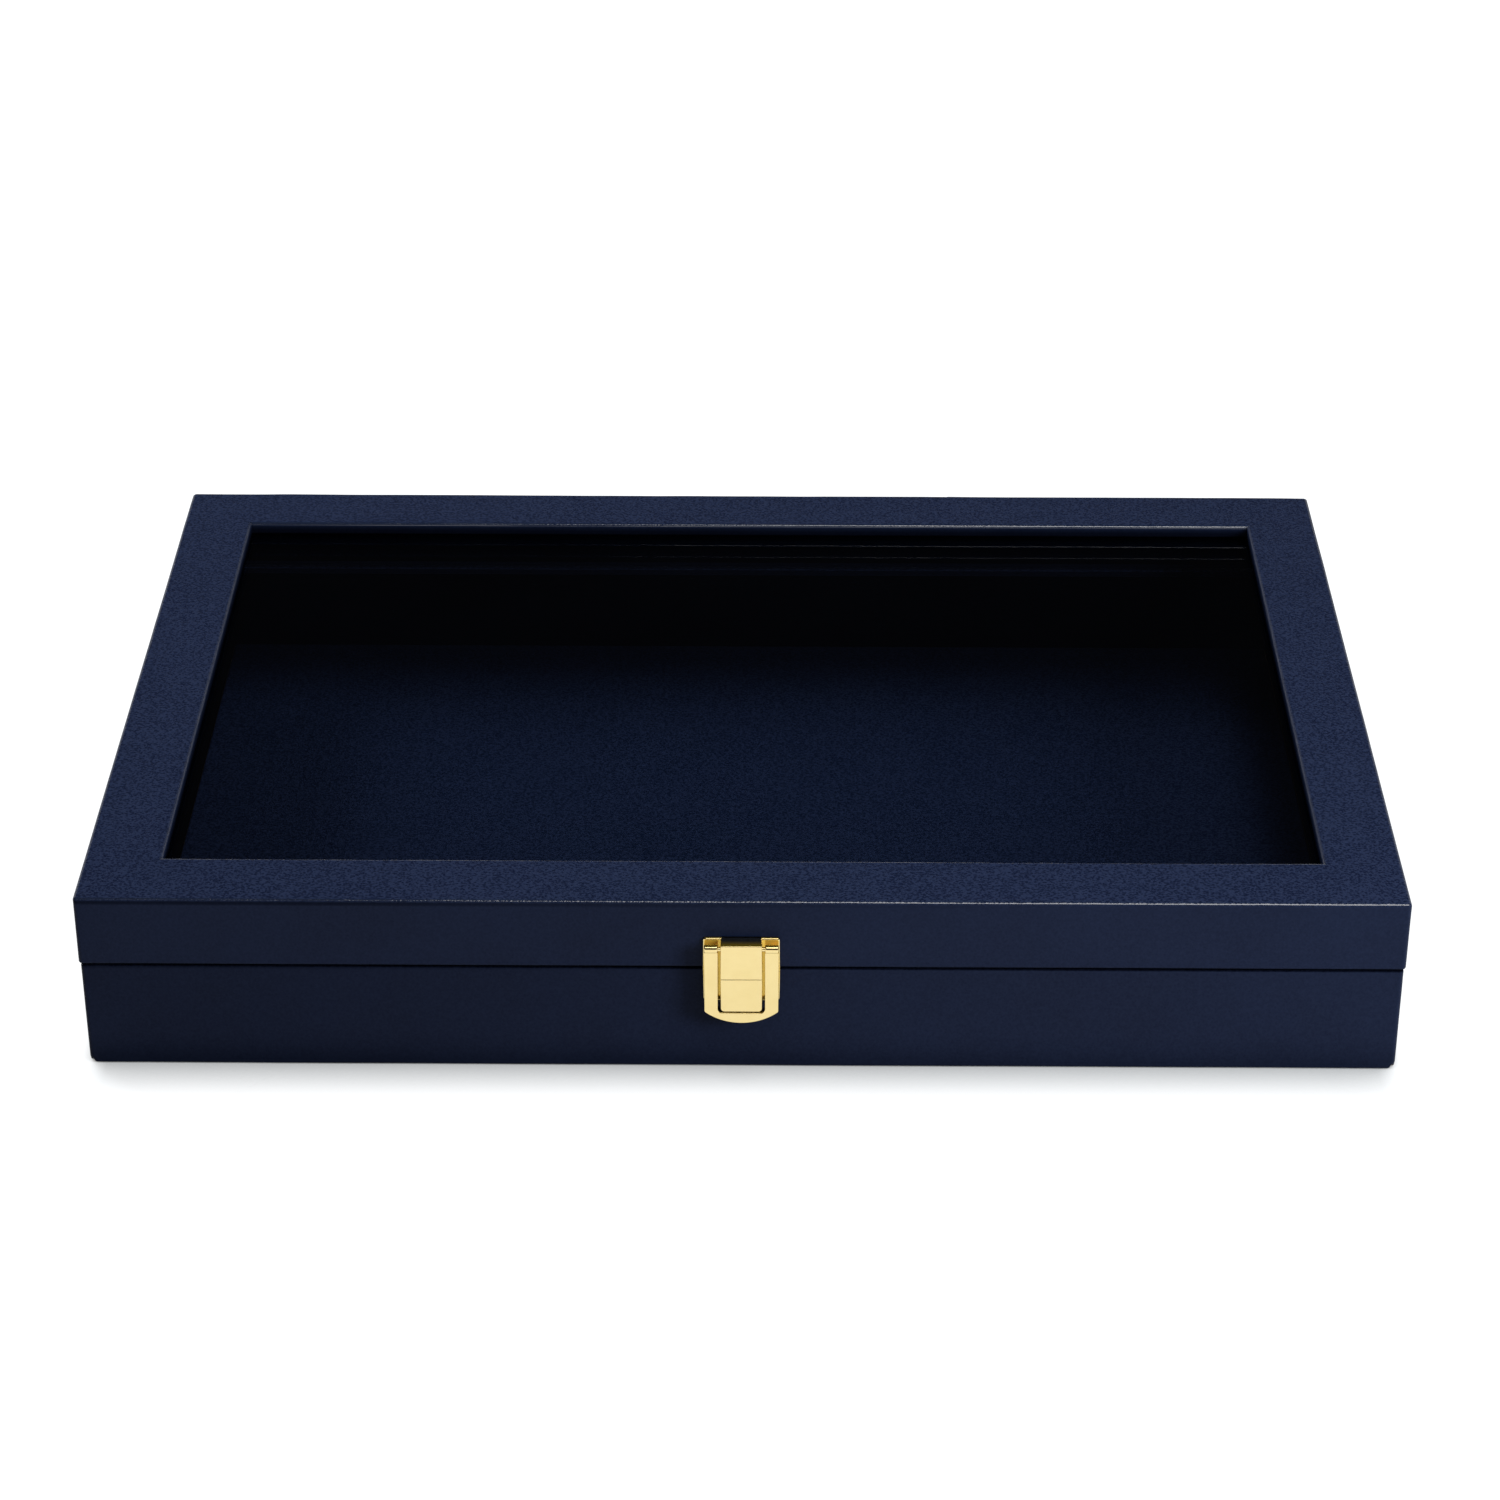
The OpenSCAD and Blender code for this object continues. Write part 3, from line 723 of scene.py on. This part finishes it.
def base_covering():
    """Leatherette of the base: outside, rim, inside, and a strip turned in underneath."""
    low, high = (v.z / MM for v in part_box("base_wrap"))
    wall = WALL_MM + 2 * SKIN_MM
    floor = low + SKIN_MM + BOTTOM_BOARD_MM
    corners = [
        (-BOTTOM_TURN_IN_MM, low, 0, 0, 0, 0), (-FOOT_START_MM, low, 0, 0, 0, 0),
        (-FOOT_FULL_MM, FOOT_Z_MM, 0, 0, 0, 0), (0, FOOT_Z_MM, FOOT_R_MM, 0, 1, 0),
        (0, high, RIM_R_MM, 0, 1, 0), (-wall, high, RIM_R_MM, 0, 1, 0),
        (-wall, floor, 0, 0, 0, 0), (SKIN_MM - wall, floor, 0, 0, 0, 0),
        (SKIN_MM - wall, high - SKIN_MM, BOARD_EDGE_R_MM, 0, 0, 0),
        (-SKIN_MM, high - SKIN_MM, BOARD_EDGE_R_MM, 0, 0, 0),
        (-SKIN_MM, low + SKIN_MM, BOARD_EDGE_R_MM, 0, 0, 0),
        (-BOTTOM_TURN_IN_MM, low + SKIN_MM, 0, 0, 0, 0),
    ]

    def shape(point, facing, corner_share, place, half):
        """Folds under the bottom corners, and the corners rounded off."""
        if facing.z < -FACING and place.x > -FOOT_FULL_MM:
            point.z += CREASE_MM * corner_share ** 4
        side_x, side_y = math.copysign(half[0], point.x), math.copysign(half[1], point.y)
        return soften_corner(point, Vector((side_x, side_y, FOOT_Z_MM)), BOTTOM_CORNER_R_MM)

    def shade(place, x):
        """Shade under the seam, towards the foot and the left, and on the inner walls."""
        depth = high - place.y
        seam = 1 - smooth_step((depth - BASE_SEAM_MM) / BASE_SEAM_FADE_MM)
        under = UNDER_SHADE * unlit(x) * (1 - smooth_step(depth / BASE_UNDER_MM))
        foot = FOOT_SHADE * (1 - smooth_step((place.y - FOOT_Z_MM) / FOOT_SHADE_MM))
        plain = foot + BASE_SHADE + BASE_UNLIT_SHADE * unlit(x)
        inner = INNER_SHADE if place.x < INNER_REACH_MM - wall else 0
        return max(max(seam, under, plain) * outer_share(place), inner)

    wrap("base_covering", "base_wrap", "base", corners, shape, shade)


def lid_covering():
    """Leatherette of the lid: round the rails, over the top and down the window's edge."""
    low, high = (v.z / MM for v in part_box("lid_wrap"))
    wall = WALL_MM + 2 * SKIN_MM
    pane_top = high - 2 * SKIN_MM - TOP_BOARD_MM
    turn_in = WINDOW_TURN_IN_MM - WINDOW_MARGIN_MM
    corners = [
        (turn_in, pane_top, 0, 0, 0, 1), (-WINDOW_MARGIN_MM, pane_top, EDGE_R_MM, 0, 0, 1),
        (-WINDOW_MARGIN_MM, high, EDGE_R_MM, WINDOW_EDGE_REACH, 1, 0),
        (0, high, EDGE_R_MM, EDGE_REACH, 1, 0),
        (0, low, RIM_R_MM, 0, 1, 0), (-wall, low, RIM_R_MM, 0, 1, 0),
        (-wall, pane_top - PANE_MM, 0, 0, 0, 1),
        (SKIN_MM - wall, pane_top - PANE_MM, 0, 0, 0, 1),
        (SKIN_MM - wall, low + SKIN_MM, BOARD_EDGE_R_MM, 0, 0, 0),
        (-SKIN_MM, low + SKIN_MM, BOARD_EDGE_R_MM, 0, 0, 0),
        (-SKIN_MM, high - SKIN_MM, BOARD_EDGE_R_MM, 0, 0, 0),
        (SKIN_MM - WINDOW_MARGIN_MM, high - SKIN_MM, BOARD_EDGE_R_MM, 0, 0, 0),
        (SKIN_MM - WINDOW_MARGIN_MM, high - SKIN_MM - TOP_BOARD_MM, BOARD_EDGE_R_MM, 0, 0, 0),
        (turn_in, high - SKIN_MM - TOP_BOARD_MM, 0, 0, 0, 0),
    ]

    def shape(point, facing, corner_share, place, half):
        """Folds in the window's corners."""
        in_window_edge = place.x < EDGE_R_MM - WINDOW_MARGIN_MM and facing.z >= 0
        if in_window_edge and place.y > pane_top + EDGE_R_MM:
            point -= facing * CREASE_MM * corner_share ** 3
        return point

    def shade(place, x):
        """Shade over the seam, under the top edge and towards the left, in the window and inside."""
        depth = high - place.y
        past_edge = smooth_step((depth - LID_EDGE_MM) / LID_EDGE_FADE_MM)
        seam = 1 - smooth_step((place.y - low) / RIM_R_MM)
        under_edge = 1 - smooth_step((depth - LID_UNDER_MM) / LID_UNDER_FADE_MM)
        under = UNDER_SHADE * unlit(x) * past_edge * under_edge
        plain = LID_UNLIT_SHADE * unlit(x) * past_edge
        in_window = abs(place.x + WINDOW_MARGIN_MM) < EDGE_R_MM
        reveal = smooth_step((depth - REVEAL_MM) / REVEAL_FADE_MM) if in_window else 0
        inner = INNER_SHADE if place.x < INNER_REACH_MM - wall and place.y < pane_top - PANE_MM else 0
        return max(max(seam, under, plain) * outer_share(place), reveal, inner)

    wrap("lid_covering", "lid_wrap", "lid", corners, shape, shade)


def rounded_copy(node, slot, radius_mm):
    """A copy of a CAD node with its sharp edges rounded, which stands for the node."""
    work = bmesh.new()
    work.from_mesh(frame["nodes"][node].data)
    bmesh.ops.remove_doubles(work, verts=work.verts, dist=MERGE_MM * MM)
    bmesh.ops.dissolve_limit(
        work, angle_limit=math.radians(FLAT_ANGLE), verts=work.verts, edges=work.edges,
        use_dissolve_boundaries=False)
    piece = new_piece(node + "_rounded", work, slot, frame["nodes"][node]["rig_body"], node)
    if "custom_normal" in piece.data.attributes:
        piece.data.attributes.remove(piece.data.attributes["custom_normal"])
    rounding = piece.modifiers.new("rounding", "BEVEL")
    rounding.width = radius_mm * MM
    rounding.segments = ROUNDING_PARTS
    rounding.limit_method = "ANGLE"
    rounding.angle_limit = math.radians(ROUNDED_ANGLE)
    rounding.miter_outer = "MITER_ARC"
    flat_shading(piece)


def rounded_outline(corners):
    """Points of a closed outline, as (place, rounding), from corners (x, z, corner radius, rounding)."""
    points = []
    places = [Vector(c[:2]) for c in corners]
    for i, (_, _, radius, rounding) in enumerate(corners):
        here = places[i]
        if not radius:
            points.append((here, rounding))
            continue
        back = (places[i - 1] - here).normalized()
        ahead = (places[(i + 1) % len(places)] - here).normalized()
        half_turn = back.angle(ahead) / 2
        middle = here + (back + ahead).normalized() * radius / math.sin(half_turn)
        start = here + back * radius / math.tan(half_turn) - middle
        end = here + ahead * radius / math.tan(half_turn) - middle
        for part in range(CLASP_CORNER_PARTS + 1):
            share = part / CLASP_CORNER_PARTS
            points.append((middle + start.slerp(end, share) * radius, rounding))
    return points


def pressed(work, corners, front, back):
    """A stamped plate with rounded front edges. Its outline runs anticlockwise as seen from the front."""
    outline = rounded_outline(corners)
    outward = []
    for k, (place, _) in enumerate(outline):
        before = (place - outline[k - 1][0]).normalized()
        after = (outline[(k + 1) % len(outline)][0] - place).normalized()
        normal, next_normal = Vector((before.y, -before.x)), Vector((after.y, -after.x))
        outward.append((normal + next_normal) / (1 + normal.dot(next_normal)))
    rings = [[work.verts.new(Vector((place.x, back, place.y)) * MM) for place, _ in outline]]
    for part in range(CLASP_EDGE_PARTS + 1):
        angle = math.radians(90 * part / CLASP_EDGE_PARTS)
        ring = []
        for (place, rounding), normal in zip(outline, outward):
            drawn = place - normal * rounding * (1 - math.cos(angle))
            depth = front + rounding * (1 - math.sin(angle))
            ring.append(work.verts.new(Vector((drawn.x, depth, drawn.y)) * MM))
        rings.append(ring)
    join_rings(work, rings, closed=False)
    work.faces.new(rings[0])
    work.faces.new(rings[-1])


def barrel(work, start, end, y, z):
    """A rolled barrel along X with rounded ends and a bore."""
    low, high = min(start, end), max(start, end)
    arc = [math.radians(90 * part / CLASP_EDGE_PARTS) for part in range(CLASP_EDGE_PARTS + 1)]
    drawn = [(BARREL_ROUND_MM * (1 - math.cos(a)), BARREL_ROUND_MM * (1 - math.sin(a))) for a in arc]
    profile = [(low, BORE_R_MM)]
    profile += [(low + near, BARREL_R_MM - far) for near, far in drawn]
    profile += [(high - far, BARREL_R_MM - near) for near, far in drawn]
    profile += [(high, BORE_R_MM)]
    turns = [2 * math.pi * k / BARREL_SIDES for k in range(BARREL_SIDES)]
    rings = []
    for x, radius in profile:
        places = [Vector((x, y + radius * math.cos(t), z + radius * math.sin(t))) for t in turns]
        rings.append([work.verts.new(place * MM) for place in places])
    join_rings(work, rings, closed=True)


def oblong(half, low, high, low_corner, high_corner):
    """Corners of an upright oblong. Each of the last two is (corner radius, edge rounding)."""
    return [
        (-half, low, *low_corner), (half, low, *low_corner),
        (half, high, *high_corner), (-half, high, *high_corner),
    ]


def clasp():
    """Clasp in stamped and rolled brass: a plate and block on each rim, and a flap on two barrels."""
    lid_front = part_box("lid_wrap")[0].y / MM
    base_front = lid_front + BASE_INSET_MM
    clasp_front = lid_front - CLASP_DEPTH_MM
    plate_corner = (PLATE_CORNER_R_MM, PLATE_ROUND_MM)
    plate_split = (PLATE_SPLIT_R_MM, PLATE_SPLIT_ROUND_MM)
    block_split = (BLOCK_SPLIT_ROUND_MM, BLOCK_SPLIT_ROUND_MM)
    block_top, block_bottom = (BLOCK_TOP_R_MM, BLOCK_ROUND_MM), (BLOCK_BOTTOM_R_MM, BLOCK_ROUND_MM)

    work = bmesh.new()
    plate = oblong(PLATE_HALF_MM, SPLIT_HIGH_MM, HINGE_PLATE_TOP_MM, plate_split, plate_corner)
    block = oblong(BLOCK_HALF_MM, SPLIT_HIGH_MM, BLOCK_TOP_MM, block_split, block_top)
    pressed(work, plate, lid_front - PLATE_MM, lid_front)
    pressed(work, block, clasp_front, lid_front)
    stamped_piece("clasp_hinge_plate", work, "lid")

    work = bmesh.new()
    plate = oblong(PLATE_HALF_MM, CATCH_PLATE_BOTTOM_MM, SPLIT_LOW_MM, plate_corner, plate_split)
    block = oblong(BLOCK_HALF_MM, BLOCK_BOTTOM_MM, SPLIT_LOW_MM, block_bottom, block_split)
    pressed(work, plate, base_front - PLATE_MM, base_front)
    pressed(work, block, clasp_front, base_front)
    stamped_piece("clasp_catch_plate", work, "base")

    work = bmesh.new()
    pressed(work, flap_corners(), clasp_front, clasp_front + FLAP_MM)
    for side in (-1, 1):
        barrel(work, side * SLOT_HALF_MM, side * FLAP_HALF_MM, lid_front - PIN_FORWARD_MM, PIN_Z_MM)
    stamped_piece("clasp_flap", work, "clasp_flap")


def flap_corners():
    """Outline of the flap: a U with a curved foot, whose two legs end under the barrels."""
    drop = FLAP_CORNER_Z_MM - FLAP_BOTTOM_MM
    curve_r = (FLAP_HALF_MM ** 2 + drop ** 2) / (2 * drop)
    reach = math.asin(FLAP_HALF_MM / curve_r)
    corners = [(-FLAP_HALF_MM, FLAP_CORNER_Z_MM, FLAP_SHOULDER_R_MM, FLAP_ROUND_MM)]
    for part in range(FLAP_SHOULDER_PARTS, FLAP_CURVE_PARTS - FLAP_SHOULDER_PARTS + 1):
        angle = reach * (2 * part / FLAP_CURVE_PARTS - 1)
        height = FLAP_BOTTOM_MM + curve_r * (1 - math.cos(angle))
        corners.append((curve_r * math.sin(angle), height, 0, FLAP_ROUND_MM))
    leg_top = PIN_Z_MM - LEG_DROP_MM
    leg_end = (leg_top, LEG_TOP_R_MM, LEG_TOP_ROUND_MM)
    slot_end = (SLOT_BOTTOM_MM, SLOT_CORNER_R_MM, SLOT_ROUND_MM)
    return corners + [
        (FLAP_HALF_MM, FLAP_CORNER_Z_MM, FLAP_SHOULDER_R_MM, FLAP_ROUND_MM),
        (FLAP_HALF_MM, *leg_end), (SLOT_HALF_MM, *leg_end), (SLOT_HALF_MM, *slot_end),
        (-SLOT_HALF_MM, *slot_end), (-SLOT_HALF_MM, *leg_end), (-FLAP_HALF_MM, *leg_end),
    ]


def stamped_piece(node, work, body):
    """A gold piece of the clasp, which stands for its CAD node."""
    flat_shading(new_piece(node + "_stamped", work, "gold", body, node))


def floor_board():
    """Covered board on the floor of the base, with soft edges, a slight crown and painted shade by the back
    and right walls.
    """
    low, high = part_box("base_floor_pad")
    radius = FLOOR_EDGE_R_MM * MM

    def spread(start, end):
        length = (end - start) / MM
        between = along_straight(length, FLOOR_STEP_MM, FLOOR_END_STEPS_MM)
        return [start + d * MM for d in [0] + between + [length]]

    def top_height(x, y):
        inset = min(x - low.x, high.x - x, y - low.y, high.y - y)
        drop = radius - math.sqrt(max(0, radius ** 2 - max(0, radius - inset) ** 2))
        wave = noise.noise(Vector((x, y, 0)) / (FLOOR_WAVE_MM * MM)) * FLOOR_WAVE_HEIGHT_MM * MM
        share = smooth_step(inset / (FLOOR_CROWN_REACH_MM * MM))
        return high.z - drop - FLOOR_CROWN_MM * MM * (1 - share) + min(0, wave) * share

    def top_shade(x, y):
        """Shade that the back and right walls leave."""
        behind = 1 - smooth_step(((high.y - y) / MM - FLOOR_BACK_MM) / FLOOR_BACK_FADE_MM)
        beside = 1 - smooth_step(((high.x - x) / MM - FLOOR_RIGHT_MM) / FLOOR_RIGHT_FADE_MM)
        return FLOOR_SHADE * (1 - (1 - behind) * (1 - beside))

    xs, ys = spread(low.x, high.x), spread(low.y, high.y)
    work = bmesh.new()
    shaded = work.verts.layers.float.new("painted_shade")
    top = [[work.verts.new((x, y, top_height(x, y))) for y in ys] for x in xs]
    # Painted shade from the back and right walls.
    for column in top:
        for vertex in column:
            vertex[shaded] = top_shade(vertex.co.x, vertex.co.y)
    bottom = [[work.verts.new((x, y, low.z)) for y in ys] for x in xs]
    last_x, last_y = len(xs) - 1, len(ys) - 1
    for i in range(last_x):
        for j in range(last_y):
            work.faces.new((top[i][j], top[i + 1][j], top[i + 1][j + 1], top[i][j + 1]))
            work.faces.new((bottom[i][j], bottom[i][j + 1], bottom[i + 1][j + 1], bottom[i + 1][j]))
    rim = [(i, 0) for i in range(last_x)] + [(last_x, j) for j in range(last_y)]
    rim += [(i, last_y) for i in range(last_x, 0, -1)] + [(0, j) for j in range(last_y, 0, -1)]
    for (i, j), (k, m) in zip(rim, rim[1:] + rim[:1]):
        work.faces.new((top[i][j], bottom[i][j], bottom[k][m], top[k][m]))
    piece = new_piece("floor_board", work, "floor_leatherette", "base", "base_floor_pad")


def dress_cad_nodes():
    """The boards stay as they are in the CAD, with a wood-fibre material."""
    slots = {part["node"]: part["material_slot"] for part in frame["record"]["subparts"]}
    for node, slot in slots.items():
        obj = frame["nodes"][node]
        if obj.hide_render:
            continue
        obj.data.materials.clear()
        obj.data.materials.append(materials[slot])


# Stage and light
def shiny_rays(tree, path):
    """1 for mirrored rays and rays that passed through glass, or else 0."""
    return maths(tree, "MAXIMUM", path["Is Glossy Ray"], path["Is Transmission Ray"])


def seen_rays(tree, mirrored=1.0):
    """1 for rays from the camera, less for mirrored rays and rays that passed through glass, or else 0."""
    path = add(tree, "LightPath").outputs
    shiny = maths(tree, "MULTIPLY", shiny_rays(tree, path), mirrored)
    return maths(tree, "MAXIMUM", path["Is Camera Ray"], shiny)


def make_stage():
    """Pale floor that keeps the shadow of the case and is white around it."""
    work = bmesh.new()
    bmesh.ops.create_grid(work, x_segments=1, y_segments=1, size=STAGE_HALF)
    mesh = bpy.data.meshes.new("stage_floor")
    work.to_mesh(mesh)
    work.free()
    floor = bpy.data.objects.new("stage_floor", mesh)
    floor.location.z = STAGE_Z
    scene.collection.objects.link(floor)
    material = bpy.data.materials.new("stage_floor")
    material.use_nodes = True
    tree = material.node_tree
    tree.nodes.clear()
    colour = blend_colours(tree, seen_rays(tree), rgb(*STAGE_BOUNCE), rgb(*STAGE_COLOUR))
    diffuse = add(tree, "BsdfDiffuse", Color=colour).outputs[0]
    contact = add(
        tree, "AmbientOcclusion", {"samples": CONTACT_SAMPLES},
        Distance=CONTACT_REACH, Normal=CONTACT_FACING)
    across = maths(tree, "ABSOLUTE", add(tree, "SeparateXYZ", Vector=object_place(tree)).outputs["X"], 0)
    depth = remap(
        tree, across, CONTACT_HALF_LENGTH, CONTACT_HALF_LENGTH + CONTACT_FADE, CONTACT_DEPTH, 0)
    shade = maths(tree, "POWER", contact.outputs["AO"], depth)
    lift = maths(tree, "MULTIPLY", shade, STAGE_LIFT)
    lift = maths(tree, "MULTIPLY", seen_rays(tree, STAGE_MIRRORED), lift)
    glow = add(tree, "Emission", Strength=lift).outputs[0]
    both = tree.nodes.new("ShaderNodeAddShader")
    tree.links.new(diffuse, both.inputs[0])
    tree.links.new(glow, both.inputs[1])
    output = tree.nodes.new("ShaderNodeOutputMaterial")
    tree.links.new(both.outputs[0], output.inputs["Surface"])
    mesh.materials.append(material)


def make_world():
    """White surroundings that darken overhead for mirrored rays, and a plain level of soft light."""
    world = bpy.data.worlds.new("world")
    scene.world = world
    world.use_nodes = True
    tree = world.node_tree
    path = add(tree, "LightPath").outputs
    direction = add(tree, "TexCoord").outputs["Generated"]
    height = add(tree, "SeparateXYZ", Vector=direction).outputs["Z"]
    overhead = add(
        tree, "MapRange", {"interpolation_type": "SMOOTHSTEP"}, Value=height,
        From_Min=WHITE_UP_TO, From_Max=DARK_FROM, To_Min=1.0, To_Max=OVERHEAD).outputs["Result"]
    shiny = shiny_rays(tree, path)
    mirrored = maths(tree, "MULTIPLY", shiny, overhead)
    soft = maths(tree, "MULTIPLY", maths(tree, "SUBTRACT", 1, shiny), AMBIENT)
    strength = maths(tree, "MAXIMUM", path["Is Camera Ray"], maths(tree, "ADD", mirrored, soft))
    set_up(tree, tree.nodes["Background"], Color=rgb(1, 1, 1), Strength=strength)


def make_lamps():
    for name, place, target, size, watts, mirrored in LAMPS:
        data = bpy.data.lights.new(name, "AREA")
        data.shape = "RECTANGLE"
        data.size, data.size_y = size
        data.energy = watts
        lamp = bpy.data.objects.new(name, data)
        lamp.visible_glossy = mirrored
        scene.collection.objects.link(lamp)
        lamp.location = place
        lamp.rotation_euler = (Vector(target) - Vector(place)).to_track_quat("-Z", "Y").to_euler()


make_camera()
materials = make_materials()
base_covering()
lid_covering()
floor_board()
for rim in ("base", "lid"):
    for side in SIDES:
        rounded_copy(f"{rim}_{side}_lining", "dark_lining", LINING_ROUND_MM)
for side in SIDES:
    rounded_copy(f"pane_{side}_bead", "dark_lining", BEAD_ROUND_MM)
rounded_copy("underside_sheet", "underside", SHEET_ROUND_MM)
rounded_copy("window_pane", "pane", PANE_ROUND_MM)
clasp()
for node in ("clasp_pin", "clasp_lid_nails", "clasp_base_nails"):
    rounded_copy(node, "gold", PIN_ROUND_MM)
for side in ("left", "right"):
    for rim in ("lid", "base"):
        rounded_copy(f"{side}_hinge_{rim}_leaf", "hinge_brass", LEAF_ROUND_MM)
for node in ("left_hinge_pin", "right_hinge_pin", "hinge_lid_screws", "hinge_base_screws"):
    rounded_copy(node, "hinge_brass", PIN_ROUND_MM)
dress_cad_nodes()
make_stage()
make_world()
make_lamps()
scene.view_settings.view_transform = "Standard"
